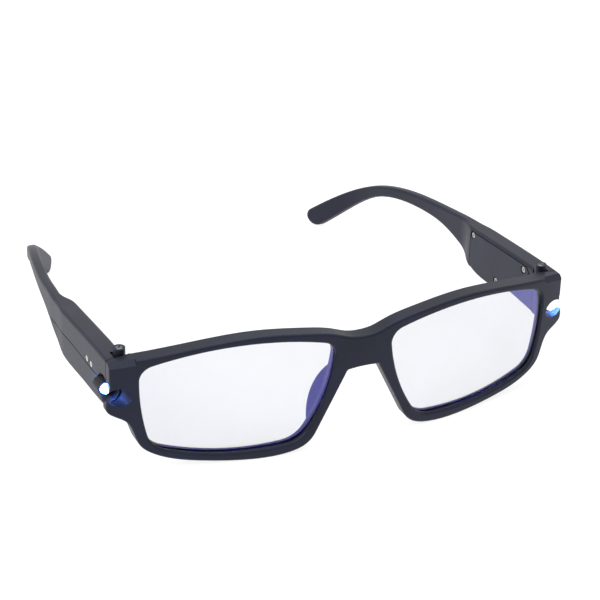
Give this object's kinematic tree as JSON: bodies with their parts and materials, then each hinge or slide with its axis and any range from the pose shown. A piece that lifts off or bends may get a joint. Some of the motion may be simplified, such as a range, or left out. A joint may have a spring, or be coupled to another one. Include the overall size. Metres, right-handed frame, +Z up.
{
  "type": "lighted reading glasses",
  "caption": "Reading glasses with a plus lens on each side, folding temples and a switched lamp in the front of each temple",
  "frame": {"origin": "on the table below the middle of the bridge's front, where the glasses stand open on rims and tips", "axes": "+Z up, +X to the wearer's left, +Y back along the temples"},
  "size_m": [0.143, 0.1343, 0.0384],
  "materials": {
    "frame_plastic": "soft-touch matte",
    "cover_plastic": "matte",
    "lens": "clear with a violet coating",
    "hinge_steel": "dark steel",
    "screw_steel": "plated",
    "led_epoxy": "clear, lit from within",
    "lead_metal": "tinned",
    "collar_rubber": "matte",
    "board": "solder mask",
    "component": "moulded epoxy",
    "cell_foil": "laminated foil",
    "switch_plastic": "matte",
    "knob_plastic": "matte",
    "contact_metal": "plated"
  },
  "bodies": {
    "front": {"front_frame": "frame_plastic", "lens_left": "lens", "lens_right": "lens", "hinge_screw_left": "hinge_steel", "hinge_screw_right": "hinge_steel"},
    "temple_left": {"temple_shell_left": "frame_plastic", "battery_cover_left": "cover_plastic", "cover_screws_left": "screw_steel", "led_left": "led_epoxy", "led_leads_left": "lead_metal", "led_collar_left": "collar_rubber", "circuit_board_left": "board", "board_components_left": "component", "cell_left": "cell_foil", "cell_tabs_left": "lead_metal", "switch_body_left": "switch_plastic", "charge_contacts_left": "contact_metal"},
    "switch_left": {"switch_slider_left": "knob_plastic"},
    "temple_right": {"temple_shell_right": "frame_plastic", "battery_cover_right": "cover_plastic", "cover_screws_right": "screw_steel", "led_right": "led_epoxy", "led_leads_right": "lead_metal", "led_collar_right": "collar_rubber", "circuit_board_right": "board", "board_components_right": "component", "cell_right": "cell_foil", "cell_tabs_right": "lead_metal", "switch_body_right": "switch_plastic", "charge_contacts_right": "contact_metal"},
    "switch_right": {"switch_slider_right": "knob_plastic"}
  },
  "joints": [
    {"name": "temple_fold_left", "type": "hinge", "parent": "front", "child": "temple_left", "pos_m": [0.0654, 0.0166, 0.031], "axis": [0, 0, 1], "range_deg": [0, 82]},
    {"name": "switch_slide_left", "type": "slide", "parent": "temple_left", "child": "switch_left", "axis": [0, 1, 0], "range_m": [0, 0.002]},
    {"name": "temple_fold_right", "type": "hinge", "parent": "front", "child": "temple_right", "pos_m": [-0.0654, 0.0166, 0.031], "axis": [0, 0, -1], "range_deg": [0, 73]},
    {"name": "switch_slide_right", "type": "slide", "parent": "temple_right", "child": "switch_right", "axis": [0, 1, 0], "range_m": [0, 0.002]}
  ]
}
